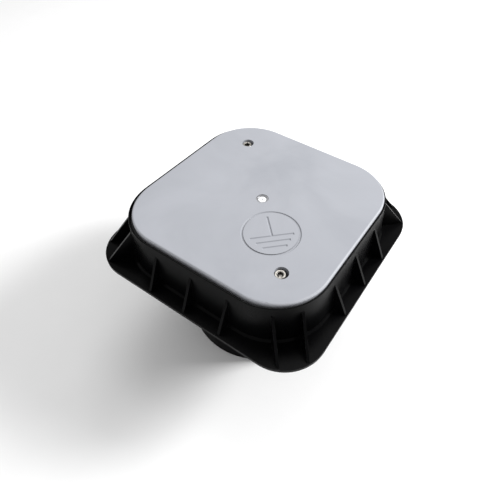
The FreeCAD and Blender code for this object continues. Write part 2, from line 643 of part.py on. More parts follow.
def make_lid_fastening(name, right, up):
    """One socket-head screw with its washer in the lid and its threaded insert in the frame's lug."""
    x, y = signed(right, "screw_place"), signed(up, "screw_place")
    screw = new_body(f"{name}_screw")
    profile = sketch_on(screw, f"{name}_screw_profile", plane="XZ_Plane")
    tip = "-1 * screw_length"
    polygon(profile, (("0", tip), ("screw_radius - 0.8", tip), ("screw_radius", f"{tip} + 0.8"),
                      ("screw_radius", "0"), ("screw_head_radius", "0"),
                      ("screw_head_radius", "screw_head_height - 0.5"),
                      ("screw_head_radius - 0.5", "screw_head_height"), ("0", "screw_head_height")))
    revolve(screw, profile)
    key = sketch_on(screw, f"{name}_key_socket", level="screw_head_height")
    reach = f"screw_socket_flats / {math.sqrt(3):.6f}"
    corners = [(f"{math.cos(math.radians(60 * step)):.6f} * {reach}",
                f"{math.sin(math.radians(60 * step)):.6f} * {reach}") for step in range(6)]
    polygon(key, corners)
    pocket(screw, key, "screw_socket_depth")
    place(screw, x, y, HEAD_BOTTOM)

    disc = cylinder(f"{name}_washer_disc", "washer_radius", "washer_thickness", x, y, WASHER_BOTTOM)
    hole = cylinder(f"{name}_washer_hole", "washer_hole", "washer_thickness", x, y, WASHER_BOTTOM)
    ring = cut(f"{name}_washer_ring", disc, hole)
    split = box(f"{name}_washer_split", "washer_split", "washer_radius + 1", "washer_thickness",
                f"{x} - washer_split / 2", f"{y} - washer_radius - 1", WASHER_BOTTOM)
    washer = finish(cut(f"{name}_washer", ring, split), f"{name}_screw_washer")

    insert_bottom = f"{LUG_TOP} - insert_length"
    sleeve = cylinder(f"{name}_insert_sleeve", "insert_radius", "insert_length", x, y, insert_bottom)
    thread = cylinder(f"{name}_insert_thread", "screw_radius + insert_clearance", "insert_length",
                      x, y, insert_bottom)
    insert = finish(cut(f"{name}_threaded_insert", sleeve, thread), f"{name}_insert")
    return [screw, washer, insert]


# ---------------------------------------------------------------------------------------------
# Earth test link: insulating bridge, studs, link and nuts
# ---------------------------------------------------------------------------------------------

def make_terminal_bridge():
    """A moulded strap that hangs in the neck from the socket's top and carries the two studs."""
    body = new_body("terminal_bridge")
    strap = sketch_on(body, "strap_profile", plane="XZ_Plane")
    leg, outside = "bridge_leg", "(bridge_leg + bridge_wall)"
    seat, top = SOCKET_TOP, f"{SOCKET_TOP} + bridge_flange"
    deck_low, deck_high = "bridge_bottom", "bridge_bottom + bridge_deck"
    right_half = ((outside, deck_low), (outside, seat), ("bridge_end", seat), ("bridge_end", top),
                  (leg, top), (leg, deck_high))
    left_half = tuple((f"-1 * {x}", z) for x, z in reversed(right_half))
    polygon(strap, right_half + left_half)
    pad(body, strap, "bridge_width", midplane=True)
    along_y = value("bridge_width")
    bend_levels = [value(text) for text in (deck_low, deck_high, seat, top)]
    bend_places = [value("bridge_leg"), value("bridge_leg + bridge_wall")]

    def bend(edge):
        box = edge.BoundBox
        runs_across = box.YLength > along_y - 0.1 and box.XLength < 0.1 and box.ZLength < 0.1
        return (runs_across and min(abs(abs(box.XMin) - x) for x in bend_places) < 0.1
                and min(abs(box.ZMin - z) for z in bend_levels) < 0.1)

    fillet(body, "strap_bends", "2.0", bend)
    stud_holes = sketch_on(body, "stud_holes", level=deck_high)
    fixing_holes = sketch_on(body, "fixing_holes", level=top)
    for side in (-1, 1):
        circle(stud_holes, "stud_radius + stud_clearance", signed(side, "stud_place"))
        circle(fixing_holes, "bridge_screw_radius + 0.25", signed(side, "bridge_screw_place"))
    pocket(body, stud_holes, "bridge_deck")
    pocket(body, fixing_holes, "bridge_flange")
    head_recesses = sketch_on(body, "head_recesses", level=deck_low)
    reach = f"(hex_flats + 0.4) / {math.sqrt(3):.6f}"
    for side in (-1, 1):
        middle = signed(side, "stud_place")
        polygon(head_recesses, [(f"{middle} + {math.cos(math.radians(60 * step)):.6f} * {reach}",
                                 f"{math.sin(math.radians(60 * step)):.6f} * {reach}")
                                for step in range(6)])
    pocket(body, head_recesses, "stud_head_sunk", reverse=True)
    return body


def make_bridge_screws():
    solids = []
    for name, side in (("left", -1), ("right", 1)):
        x = signed(side, "bridge_screw_place")
        top = f"{SOCKET_TOP} + bridge_flange"
        solids.append(cylinder(f"{name}_bridge_shank", "bridge_screw_radius", "bridge_screw_length",
                               x, z=f"{top} - bridge_screw_length"))
        solids.append(cylinder(f"{name}_bridge_head", "bridge_screw_head", "bridge_screw_head_height",
                               x, z=top))
    return finish(fuse("two_bridge_screws", solids), "bridge_screws")


def make_stud(name, side):
    x = signed(side, "stud_place")
    head = hexagon(f"{name}_head", "hex_flats", "stud_head_height", x, z=STUD_HEAD_BOTTOM)
    shank = cylinder(f"{name}_shank", "stud_radius", "stud_length", x,
                     z=f"{STUD_HEAD_BOTTOM} + stud_head_height")
    return finish(fuse(f"{name}_bolt", [head, shank]), f"{name}_stud")


def drilled(name, blanks, hole_radius, height, places, z):
    """The same blanks with a hole through each, as one object of separate solids."""
    holes = [cylinder(f"{name}_hole_{number}", hole_radius, height, x, z=z)
             for number, x in enumerate(places)]
    base = fuse(f"{name}_blanks", blanks) if len(blanks) > 1 else blanks[0]
    tool = fuse(f"{name}_holes", holes) if len(holes) > 1 else holes[0]
    return cut(f"{name}_drilled", base, tool)


def make_link_hardware():
    left, right = signed(-1, "stud_place"), signed(1, "stud_place")
    both = (left, right)
    parts = []
    lock_nuts = [hexagon(f"lock_nut_{number}", "hex_flats", "lock_nut_height", x, z=LOCK_NUT_BOTTOM)
                 for number, x in enumerate(both)]
    parts.append(finish(drilled("lock", lock_nuts, "stud_radius", "lock_nut_height", both,
                                LOCK_NUT_BOTTOM), "stud_lock_nuts"))
    discs = [cylinder(f"link_washer_{number}", "link_washer_radius", "link_washer_thickness", x,
                      z=LINK_WASHER_BOTTOM) for number, x in enumerate(both)]
    parts.append(finish(drilled("washer", discs, "stud_radius + 0.25", "link_washer_thickness", both,
                                LINK_WASHER_BOTTOM), "link_washers"))
    rings = [cylinder(f"spring_ring_{number}", "spring_washer_radius", "spring_washer_thickness", x,
                      z=SPRING_WASHER_BOTTOM) for number, x in enumerate(both)]
    whole = drilled("spring", rings, "stud_radius + 0.2", "spring_washer_thickness", both,
                    SPRING_WASHER_BOTTOM)
    splits = [box(f"spring_split_{number}", "spring_washer_split", "spring_washer_radius + 1",
                  "spring_washer_thickness", f"{x} - spring_washer_split / 2",
                  "-1 * spring_washer_radius - 1", SPRING_WASHER_BOTTOM)
              for number, x in enumerate(both)]
    parts.append(finish(cut("split_spring_rings", whole, fuse("spring_splits", splits)),
                        "link_spring_washers"))
    for name, x in (("rod", left), ("line", right)):
        blank = hexagon(f"{name}_nut_blank", "hex_flats", "top_nut_height", x, z=TOP_NUT_BOTTOM)
        parts.append(finish(drilled(f"{name}_nut", [blank], "stud_radius", "top_nut_height", [x],
                                    TOP_NUT_BOTTOM), f"{name}_nut"))
    return parts


def make_link_bar():
    """The link's own origin is the rod stud's axis; its open slot is an arc about that axis."""
    body = new_body("link_bar")
    reach, spare = "2 * stud_place", "(link_end - stud_place)"
    outline = sketch_on(body, "link_outline")
    rectangle(outline, f"-1 * {spare}", f"{reach} + {spare}", "-1 * link_width / 2", "link_width / 2")
    pad(body, outline, "link_thickness")
    upright = value("link_thickness")
    fillet(body, "link_corners", "5.0", lambda edge: abs(edge.BoundBox.ZLength - upright) < 0.01)
    pivot = sketch_on(body, "pivot_hole", level="link_thickness")
    circle(pivot, "stud_radius + stud_clearance")
    pocket(body, pivot, "link_thickness")

    # Part of a ring about the pivot, as wide as the stud, from the stud's seat to past the bar's edge.
    slot = sketch_on(body, "open_slot", level="link_thickness")
    arm, half, sweep = value(reach), value("slot_half"), math.radians(-28)
    inner = Part.Circle(Vector(), Vector(0, 0, 1), arm - half)
    outer = Part.Circle(Vector(), Vector(0, 0, 1), arm + half)
    seat = Part.Circle(Vector(arm, 0, 0), Vector(0, 0, 1), half)
    slot.addGeometry(Part.ArcOfCircle(inner, sweep, 0))
    slot.addGeometry(Part.ArcOfCircle(seat, 0, math.pi))
    slot.addGeometry(Part.ArcOfCircle(outer, sweep, 0))
    mouth = [Vector(radius * math.cos(sweep), radius * math.sin(sweep), 0)
             for radius in (arm - half, arm + half)]
    slot.addGeometry(Part.LineSegment(*mouth))
    for first, first_end, second, second_end in ((0, 2, 1, 2), (1, 1, 2, 2), (0, 1, 3, 1), (2, 1, 3, 2)):
        slot.addConstraint(Sketcher.Constraint("Coincident", first, first_end, second, second_end))
    for arc in (0, 2):
        slot.addConstraint(Sketcher.Constraint("Coincident", arc, 3, -1, 1))
    dimension(slot, "Radius", (0,), f"{reach} - slot_half")
    dimension(slot, "Radius", (2,), f"{reach} + slot_half")
    pocket(body, slot, "link_thickness")
    place(body, "-1 * stud_place", "0", LINK_BOTTOM)
    return body


# ---------------------------------------------------------------------------------------------
# Build, check and write
# ---------------------------------------------------------------------------------------------

parts = [make_lid_plate(), make_lifting_bush(), make_lifting_plug(), make_frame_body(),
         make_lid_gasket(), make_neck_pipe(), make_neck_seal()]
for fastening, signs in zip(("far", "near"), DIAGONAL):
    parts += make_lid_fastening(fastening, *signs)
parts += [make_terminal_bridge(), make_bridge_screws(), make_stud("rod", -1), make_stud("line", 1),
          make_link_bar()]
parts += make_link_hardware()
doc.recompute()

for item in doc.Objects:
    if "Invalid" in item.State or "Error" in item.State:
        raise RuntimeError(f"{item.Name} failed: {item.State}")
for part in parts:
    if part.Shape.isNull() or not part.Shape.isValid() or not part.Shape.Solids:
        raise RuntimeError(f"{part.Label} has no valid solid")

os.makedirs("parts", exist_ok=True)
for part in parts:
    part.Shape.exportStep(f"parts/{part.Label}.step")
    box = part.Shape.BoundBox
    print(f"{part.Label:22s} solids {len(part.Shape.Solids)}  volume {part.Shape.Volume / 1000:8.2f} cm3  "
          f"z {box.ZMin:6.1f} to {box.ZMax:6.1f}")
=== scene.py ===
# %% [markdown]
# # An earth inspection pit cover
#
# A cast lid with the earth sign is screwed into a black plastic ground frame. A round neck goes
# down from the frame, and inside it a link joins the earth rod to the building's earth line.
#
# The engineer's model is loaded first. It has every piece at its true size and place, so this
# notebook adds what that model can't hold: the skin of each material, the screw threads and the
# studio. Everything is in metres, with +Z up and the origin under the middle of the neck.

# %% Load the engineer's model
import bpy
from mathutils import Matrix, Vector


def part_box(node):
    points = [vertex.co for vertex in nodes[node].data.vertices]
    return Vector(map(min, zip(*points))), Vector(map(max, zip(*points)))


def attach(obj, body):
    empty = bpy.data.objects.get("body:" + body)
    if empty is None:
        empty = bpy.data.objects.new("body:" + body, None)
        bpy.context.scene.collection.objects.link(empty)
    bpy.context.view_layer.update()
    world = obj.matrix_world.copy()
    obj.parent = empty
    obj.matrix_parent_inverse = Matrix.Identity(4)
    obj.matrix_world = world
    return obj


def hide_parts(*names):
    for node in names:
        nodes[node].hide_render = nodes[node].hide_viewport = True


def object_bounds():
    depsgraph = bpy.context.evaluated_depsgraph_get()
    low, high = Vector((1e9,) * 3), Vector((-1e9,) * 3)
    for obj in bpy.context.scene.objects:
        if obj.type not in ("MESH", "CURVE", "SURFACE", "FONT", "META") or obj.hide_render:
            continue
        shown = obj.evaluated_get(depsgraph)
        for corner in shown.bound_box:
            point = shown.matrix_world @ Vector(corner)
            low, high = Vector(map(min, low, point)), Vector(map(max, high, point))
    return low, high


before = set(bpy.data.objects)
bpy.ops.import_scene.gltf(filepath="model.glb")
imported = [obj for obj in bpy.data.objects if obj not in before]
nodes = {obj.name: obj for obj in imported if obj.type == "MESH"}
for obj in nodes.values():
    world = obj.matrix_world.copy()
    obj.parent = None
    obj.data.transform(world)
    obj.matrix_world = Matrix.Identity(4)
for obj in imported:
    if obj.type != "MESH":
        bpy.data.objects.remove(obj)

cad_low, cad_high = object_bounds()
print("engineer's model, low corner:", [round(number, 4) for number in cad_low])
print("engineer's model, high corner:", [round(number, 4) for number in cad_high])

# %% [markdown]
# ## Tools for the whole notebook
#
# Blender's own module is `bpy`. `bmesh` edits meshes point by point, and `mathutils` holds vectors.

# %% Bring in Blender's modules
import math

import bmesh
import bpy
from mathutils import Matrix, Vector

MM = 0.001
print("Blender", bpy.app.version_string, "with", len(nodes), "pieces of the engineer's model")

# %% [markdown]
# ## How a finish is built
#
# A finish is a small network of nodes: textures measure the place on the piece, ramps turn the
# measure into a colour or a roughness, and one Principled shader takes them all. It could also be
# a picture wrapped round the piece. Nodes are better here: they have no seams, stay sharp at any
# distance and need no picture file.
#
# The helper is built up in four small classes, each on top of the one before. The first only makes
# an empty network and joins nodes in it. Its `place` is the point on the piece, in the piece's own
# coordinates.

# %% An empty network
class Network:
    """A material's node tree and the object's own coordinates."""

    def __init__(self, name):
        self.material = bpy.data.materials.new(name)
        self.material.use_nodes = True
        self.tree = self.material.node_tree
        self.place = self.add("ShaderNodeTexCoord").outputs["Object"]

    def add(self, kind, **settings):
        node = self.tree.nodes.new(kind)
        for name, value in settings.items():
            setattr(node, name, value)
        return node

    def join(self, output, socket):
        self.tree.links.new(output, socket)


def tools_of(kind):
    return ", ".join(name for name in vars(kind) if not name.startswith("_"))


print("a network's tools:", tools_of(Network))

# %% [markdown]
# ## Patterns
#
# Four patterns are enough for this object. Noise makes clouds, grain and stains. The same noise on
# stretched coordinates makes scratches and turning marks. Cells give pinholes, and occlusion finds
# the hollows, where shade is painted in.

# %% The patterns of a finish
class Patterns(Network):
    """Textures that measure something at each point of the piece."""

    def stretched(self, scale):
        """The coordinates, scaled differently along x, y and z."""
        mapping = self.add("ShaderNodeMapping")
        mapping.inputs["Scale"].default_value = scale
        self.join(self.place, mapping.inputs["Vector"])
        return mapping.outputs["Vector"]

    def noise(self, scale, detail=3.0, roughness=0.5, where=None, distortion=0.0):
        texture = self.add("ShaderNodeTexNoise")
        texture.inputs["Scale"].default_value = scale
        texture.inputs["Detail"].default_value = detail
        texture.inputs["Roughness"].default_value = roughness
        texture.inputs["Distortion"].default_value = distortion
        self.join(where or self.place, texture.inputs["Vector"])
        return texture.outputs["Fac"]

    def cells(self, scale):
        """The distance to the nearest of many scattered points."""
        texture = self.add("ShaderNodeTexVoronoi")
        texture.inputs["Scale"].default_value = scale
        self.join(self.place, texture.inputs["Vector"])
        return texture.outputs["Distance"]

    def openness(self, reach):
        """One on open faces, and less where the piece itself closes in within the reach."""
        finder = self.add("ShaderNodeAmbientOcclusion", samples=8, only_local=True)
        finder.inputs["Distance"].default_value = reach
        return finder.outputs["AO"]


print("patterns:", tools_of(Patterns))

# %% [markdown]
# ## From a measure to a tone
#
# A texture's number is seldom the one that is wanted. `spread` carries it from one range to
# another, `tones` turns it into colours, and `over` uses it as a mask to lay one colour on another.

# %% Working on a measure
class Measures(Patterns):
    """Arithmetic, ramps and masks."""

    def spread(self, measure, old_range, new_range):
        """Carries a measure from one range to another, and holds it at the ends."""
        ranger = self.add("ShaderNodeMapRange")
        for name, value in zip(("From Min", "From Max", "To Min", "To Max"), old_range + new_range):
            ranger.inputs[name].default_value = value
        self.join(measure, ranger.inputs["Value"])
        return ranger.outputs["Result"]

    def arithmetic(self, operation, first, second=0.0):
        node = self.add("ShaderNodeMath", operation=operation)
        for socket, value in zip(node.inputs, (first, second)):
            if isinstance(value, (int, float)):
                socket.default_value = value
            else:
                self.join(value, socket)
        return node.outputs["Value"]

    def length_of(self, across, along):
        """The length of a flat step, from its two sides."""
        squares = [self.arithmetic("MULTIPLY", side, side) for side in (across, along)]
        return self.arithmetic("SQRT", self.arithmetic("ADD", *squares))

    def tones(self, measure, *stops):
        """A ramp of colours; each stop is a position and a colour."""
        ramp = self.add("ShaderNodeValToRGB")
        elements = ramp.color_ramp.elements
        while len(elements) < len(stops):
            elements.new(0.5)
        for element, (position, colour) in zip(elements, stops):
            element.position = position
            element.color = (*colour, 1.0)
        self.join(measure, ramp.inputs["Fac"])
        return ramp.outputs["Color"]

    def over(self, mask, below, above):
        """The colour above where the mask is one, the colour below where it is zero."""
        mix = self.add("ShaderNodeMix", data_type="RGBA")
        self.join(mask, mix.inputs["Factor"])
        for socket, value in ((mix.inputs[6], below), (mix.inputs[7], above)):
            if isinstance(value, tuple):
                socket.default_value = (*value, 1.0)
            else:
                self.join(value, socket)
        return mix.outputs[2]


print("ways to work on a measure:", tools_of(Measures))

# %% [markdown]
# ## The finish itself
#
# The last class holds the shader. Values that are the same all over the piece are set straight on
# the shader's own sockets, and only what changes from point to point is joined to it. The plain
# colour and roughness that a finish starts with hold until a texture is joined to the same socket.
# Each bump takes the one before as its ground, so coarse and fine relief add up.

# %% A finish, and how it is put on a piece
class Finish(Measures):
    """One material, ready to be put on a piece."""

    def __init__(self, name, colour, roughness, metallic=0.0, **sockets):
        super().__init__(name)
        self.shader = self.tree.nodes["Principled BSDF"]
        self.shader.inputs["Base Color"].default_value = (*colour, 1.0)
        self.shader.inputs["Roughness"].default_value = roughness
        self.shader.inputs["Metallic"].default_value = metallic
        for socket, value in sockets.items():
            self.shader.inputs[socket.replace("_", " ")].default_value = value
        self.relief = None

    def set_colour(self, output):
        self.join(output, self.shader.inputs["Base Color"])

    def set_roughness(self, output):
        self.join(output, self.shader.inputs["Roughness"])

    def bump(self, measure, depth, strength):
        """Adds relief of the given depth in metres on top of any relief there already is."""
        node = self.add("ShaderNodeBump")
        node.inputs["Distance"].default_value = depth
        node.inputs["Strength"].default_value = strength
        self.join(measure, node.inputs["Height"])
        if self.relief is not None:
            self.join(self.relief, node.inputs["Normal"])
        self.relief = node.outputs["Normal"]
        self.join(self.relief, self.shader.inputs["Normal"])


def put_on(finish, *names):
    """Puts a finish on pieces of the engineer's model."""
    for name in names:
        for slot in nodes[name].material_slots:
            slot.material = finish.material
    print(f"{finish.material.name}: {', '.join(names)}")


print("a finish can also:", tools_of(Finish))

# %% [markdown]
# ## The lid's coat
#
# The lid is cast in aluminium and coated in light grey. The coat is not even: it has soft clouds
# where the casting cooled unevenly. A slow noise makes them, and a ramp of three near greys keeps
# them faint.

# %% Clouds in the lid's coat
LID_LIGHT = (0.345, 0.355, 0.387)
LID_MID = (0.325, 0.335, 0.365)
LID_CLOUD = (0.300, 0.310, 0.340)

lid_coat = Finish("lid_coat", LID_MID, roughness=0.52, Specular_IOR_Level=0.35)
clouds = lid_coat.noise(scale=11.0, detail=4.0, roughness=0.55, distortion=0.5)
cloudy = lid_coat.tones(clouds, (0.34, LID_CLOUD), (0.50, LID_MID), (0.66, LID_LIGHT))
lid_coat.set_roughness(lid_coat.spread(clouds, (0.3, 0.7), (0.60, 0.48)))
print("the coat's greys:", LID_CLOUD, LID_MID, LID_LIGHT)

# %% [markdown]
# ## Painted shade in the sign
#
# The sunken lines of the sign are painted darker, a painted shade where they close in. Corners
# could be found from the mesh's pointiness or from occlusion. Occlusion is used, because it works
# on flat faces with few points. A second noise breaks the painted shade into patches.

# %% Painted shade in the lid's sunken lines
SIGN_PAINTED_SHADE = (0.20, 0.20, 0.205)
SIGN_REACH = 1.6 * MM

# Painted shade: the sign's sunken lines are darkened in patches where occlusion finds them closing
# in.
sign_shade_mask = lid_coat.spread(lid_coat.openness(SIGN_REACH), (0.85, 0.35), (0.0, 0.35))
sign_shade_patches = lid_coat.spread(lid_coat.noise(scale=90.0), (0.3, 0.65), (0.25, 1.0))
lid_with_sign_shade = lid_coat.over(lid_coat.arithmetic("MULTIPLY", sign_shade_mask, sign_shade_patches), cloudy, SIGN_PAINTED_SHADE)
print("dirt is looked for within", SIGN_REACH, "m")

# %% [markdown]
# ## The painted highlight on the rim
#
# The rounded rim is painted a paler grey than the coat, a painted highlight where the edge catches
# the light, broken into patches by a noise. To find the rim, the nodes measure how far a point lies
# outside a smaller square whose corners are the middles of the lid's corner arcs. That distance is
# the corner radius all along the edge.

# %% The painted highlight on the lid's rim
RIM_PAINTED_HIGHLIGHT = (0.38, 0.39, 0.42)
LID_CORNER = 50.0 * MM
RIM_STARTS, RIM_FULL = 1.9 * MM, 0.8 * MM

lid_low, lid_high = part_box("lid_plate")
lid_point = lid_coat.add("ShaderNodeSeparateXYZ")
lid_coat.join(lid_coat.place, lid_point.inputs["Vector"])
beyond = []
for axis in (0, 1):
    middle_line = (lid_low[axis] + lid_high[axis]) / 2
    inner_half = (lid_high[axis] - lid_low[axis]) / 2 - LID_CORNER
    shifted = lid_coat.arithmetic("SUBTRACT", lid_point.outputs[axis], middle_line)
    from_middle = lid_coat.arithmetic("ABSOLUTE", shifted)
    beyond.append(lid_coat.arithmetic("MAXIMUM",
                                      lid_coat.arithmetic("SUBTRACT", from_middle, inner_half)))
    print("inner square's half side:", round(inner_half, 4), "m")

outward = lid_coat.length_of(*beyond)
on_rim = lid_coat.spread(outward, (LID_CORNER - RIM_STARTS, LID_CORNER - RIM_FULL), (0.0, 1.0))
rim_highlight_patches = lid_coat.spread(lid_coat.noise(scale=45.0, detail=4.0), (0.25, 0.55), (0.55, 0.95))
painted_rim_highlight = lid_coat.arithmetic("MULTIPLY", on_rim, rim_highlight_patches)
# Painted highlight: the rounded rim is painted pale in patches, where light would catch the edge.
lid_coat.set_colour(lid_coat.over(painted_rim_highlight, lid_with_sign_shade, RIM_PAINTED_HIGHLIGHT))

# %% [markdown]
# ## Relief of the coat
#
# Three bumps lie on each other: the soft waves of the casting, a fine grain like orange peel, and
# small pinholes where gas came out of the coat.

# %% The coat's waves, grain and pinholes
lid_grain = lid_coat.noise(scale=900.0, detail=2.0)
pinholes = lid_coat.spread(lid_coat.cells(scale=420.0), (0.0, 0.09), (0.0, 1.0))
lid_coat.bump(clouds, 0.25 * MM, strength=0.35)
lid_coat.bump(lid_grain, 0.05 * MM, strength=0.55)
lid_coat.bump(pinholes, 0.04 * MM, strength=0.35)
put_on(lid_coat, "lid_plate")

# %% [markdown]
# ## Black moulded plastic
#
# The frame is one injection moulding. Such plastic is nearly black, with a satin skin that is
# copied from the mould: a fine spark-eroded grain, and faint flow marks where the melt ran round
# the ribs. A plain black would lose the ribs altogether, so the flow marks change the roughness,
# which is what the eye sees on black.

# %% The frame's plastic
FRAME_PLAIN = (0.003, 0.003, 0.0032)
FRAME_DEEP, FRAME_PALE = (0.0012, 0.0012, 0.0014), (0.0026, 0.0026, 0.0028)

frame_skin = Finish("frame_skin", FRAME_PLAIN, roughness=0.30, Specular_IOR_Level=0.045)
flow = frame_skin.noise(scale=9.0, detail=4.0, roughness=0.6, distortion=1.2)
spark_grain = frame_skin.noise(scale=1500.0, detail=1.0)
base_black = frame_skin.tones(flow, (0.35, FRAME_DEEP), (0.65, FRAME_PALE))
frame_skin.set_roughness(frame_skin.spread(flow, (0.32, 0.68), (0.24, 0.38)))
frame_skin.bump(flow, 0.3 * MM, strength=0.3)
frame_skin.bump(spark_grain, 0.02 * MM, strength=0.4)
put_on(frame_skin, "frame_body")

# %% [markdown]
# ## Scuffed edges
#
# Edges of the frame rub in the crate and turn grey. The Bevel node gives the direction that a
# rounded edge would face. Where it differs from the true face, the point is on an edge. The scuffs
# only change the colour, so the edges stay sharp.

# %% Scuffs on the frame's edges
FRAME_SCUFF = (0.03, 0.03, 0.031)

edge_finder = frame_skin.add("ShaderNodeBevel", samples=4)
edge_finder.inputs["Radius"].default_value = 0.9 * MM
true_face = frame_skin.add("ShaderNodeNewGeometry")
edge_turn = frame_skin.add("ShaderNodeVectorMath", operation="DOT_PRODUCT")
frame_skin.join(edge_finder.outputs["Normal"], edge_turn.inputs[0])
frame_skin.join(true_face.outputs["Normal"], edge_turn.inputs[1])
on_edge = frame_skin.spread(edge_turn.outputs["Value"], (0.995, 0.80), (0.0, 1.0))
scuffs = frame_skin.spread(frame_skin.noise(scale=160.0, detail=4.0), (0.48, 0.66), (0.0, 0.55))
rubbed = frame_skin.arithmetic("MULTIPLY", on_edge, scuffs)
frame_skin.set_colour(frame_skin.over(rubbed, base_black, FRAME_SCUFF))
print("frame: scuffs up to", FRAME_SCUFF, "on a black of", FRAME_DEEP)

# %% [markdown]
# ## The neck
#
# The neck is a length of extruded pipe, turned at its upper end to fit the socket. Turning marks go
# round it, and they are too fine to model. The neck stands upright, so a texture that changes fast
# with height and hardly at all sideways gives rings.

# %% The neck's plastic
NECK_PLAIN = (0.004, 0.004, 0.0042)
NECK_DEEP, NECK_PALE = (0.0018, 0.0018, 0.002), (0.0036, 0.0036, 0.0038)

neck_skin = Finish("neck_skin", NECK_PLAIN, roughness=0.36, Specular_IOR_Level=0.015)
turning = neck_skin.noise(scale=1.0, roughness=0.7, where=neck_skin.stretched((3.0, 3.0, 420.0)))
smears = neck_skin.noise(scale=22.0, detail=4.0, distortion=0.8)
neck_skin.set_colour(neck_skin.tones(smears, (0.35, NECK_DEEP), (0.7, NECK_PALE)))
neck_skin.set_roughness(neck_skin.spread(smears, (0.3, 0.7), (0.34, 0.5)))
neck_skin.bump(turning, 0.12 * MM, strength=0.5)
put_on(neck_skin, "neck_pipe")

# %% [markdown]
# ## Rubber seals
#
# The gasket and the neck's seal ring are black rubber. Rubber has a matt skin with a bloom, a thin
# grey haze in patches. One flat black would be simpler, but the seals would then look like part of
# the frame, so a noise mixes a deep and a hazy black.

# %% The rubber
RUBBER_PLAIN = (0.016, 0.016, 0.017)
RUBBER_DEEP, RUBBER_BLOOM = (0.012, 0.012, 0.013), (0.040, 0.040, 0.042)

rubber = Finish("seal_rubber_skin", RUBBER_PLAIN, roughness=0.72)
bloom = rubber.noise(scale=60.0, detail=5.0, roughness=0.65)
rubber.set_colour(rubber.tones(bloom, (0.35, RUBBER_DEEP), (0.7, RUBBER_BLOOM)))
rubber.set_roughness(rubber.spread(bloom, (0.3, 0.7), (0.62, 0.82)))
rubber.bump(rubber.noise(scale=1200.0, detail=2.0), 0.03 * MM, strength=0.5)
put_on(rubber, "lid_gasket", "neck_seal")

# %% [markdown]
# ## Turned metal
#
# Screws, studs and bushes come off a lathe, so their faces carry fine rings about their own axis. A
# finish with rings has to know where the axis is. The helper shifts the coordinates to the middle
# of the piece, takes the distance from the axis, and feeds that to a noise. Hollows such as a key
# socket are painted near black, a painted shade where the piece closes in.

# %% A helper for turned metal
HOLLOW_PAINTED_SHADE = (0.012, 0.011, 0.010)
HOLLOW_SHADE_REACH = 3.0 * MM


def middle_of(node):
    low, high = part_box(node)
    return (low[0] + high[0]) / 2, (low[1] + high[1]) / 2


def turned_metal(name, node, colour, roughness, grime_colour, worn=0.3):
    """Rings round a vertical axis through the middle of one piece, with a little grime and painted
    shade in its hollows.
    """
    finish = Finish(name, colour, roughness=roughness, metallic=1.0)
    shift = finish.add("ShaderNodeMapping")
    shift.inputs["Location"].default_value = (*(-number for number in middle_of(node)), 0.0)
    finish.join(finish.place, shift.inputs["Vector"])
    apart = finish.add("ShaderNodeSeparateXYZ")
    finish.join(shift.outputs["Vector"], apart.inputs["Vector"])
    ring_place = finish.add("ShaderNodeCombineXYZ")
    finish.join(finish.length_of(apart.outputs["X"], apart.outputs["Y"]), ring_place.inputs["X"])
    finish.join(apart.outputs["Z"], ring_place.inputs["Z"])
    lathe_lines = finish.noise(scale=2600.0, detail=2.0, where=ring_place.outputs["Vector"])

    grime = finish.noise(scale=170.0, detail=4.0, roughness=0.6)
    surface = finish.over(finish.spread(grime, (0.45, 0.75), (0.0, worn)), colour, grime_colour)
    # Painted shade: hollows within the reach are painted near black.
    hollow_shade_mask = finish.spread(finish.openness(HOLLOW_SHADE_REACH), (0.80, 0.45), (0.0, 0.96))
    finish.set_colour(finish.over(hollow_shade_mask, surface, HOLLOW_PAINTED_SHADE))
    finish.set_roughness(finish.spread(grime, (0.3, 0.7), (roughness - 0.07, roughness + 0.14)))
    finish.bump(lathe_lines, 0.03 * MM, strength=0.6)
    print(f"{name}: rings about {[round(number, 4) for number in middle_of(node)]}")
    return finish

# %% [markdown]
# ## Screws, studs, inserts and bush
#
# The lid's screws are stainless steel and have been in wet ground, so they are dull and grimy. The
# studs stay dry and bright, the inserts are brass, and the bush is a dull grey. Each screw has its
# own material, because the rings need that screw's axis.

# %% Metal of the turned pieces
STAINLESS, STAINLESS_GRIME = (0.33, 0.315, 0.29), (0.10, 0.09, 0.08)
BRIGHT_STEEL, BRIGHT_GRIME = (0.55, 0.54, 0.52), (0.2, 0.19, 0.18)
BRASS, BRASS_GRIME = (0.62, 0.43, 0.17), (0.25, 0.14, 0.05)
BUSH_GREY, BUSH_GRIME = (0.26, 0.26, 0.27), (0.09, 0.09, 0.09)

screw_metal = {side: turned_metal(f"{side}_screw_metal", f"{side}_screw", STAINLESS, 0.30,
                                  STAINLESS_GRIME, worn=0.45) for side in ("far", "near")}
stud_metal = {side: turned_metal(f"{side}_stud_metal", f"{side}_stud", BRIGHT_STEEL, 0.27,
                                 BRIGHT_GRIME) for side in ("rod", "line")}
for side in ("far", "near"):
    insert = f"{side}_insert"
    put_on(turned_metal(f"{insert}_metal", insert, BRASS, 0.30, BRASS_GRIME), insert)
put_on(turned_metal("bush_metal", "lifting_bush", BUSH_GREY, 0.38, BUSH_GRIME, worn=0.5),
       "lifting_bush")

# %% [markdown]
# ## Pressed metal
#
# Washers and nuts are pressed or milled, and have short scratches instead of rings. The scratches
# are a noise on coordinates that are stretched by a different amount each way.

# %% Washers, nuts and small screws
WASHER_STEEL, WASHER_GRIME = (0.58, 0.58, 0.57), (0.22, 0.21, 0.20)


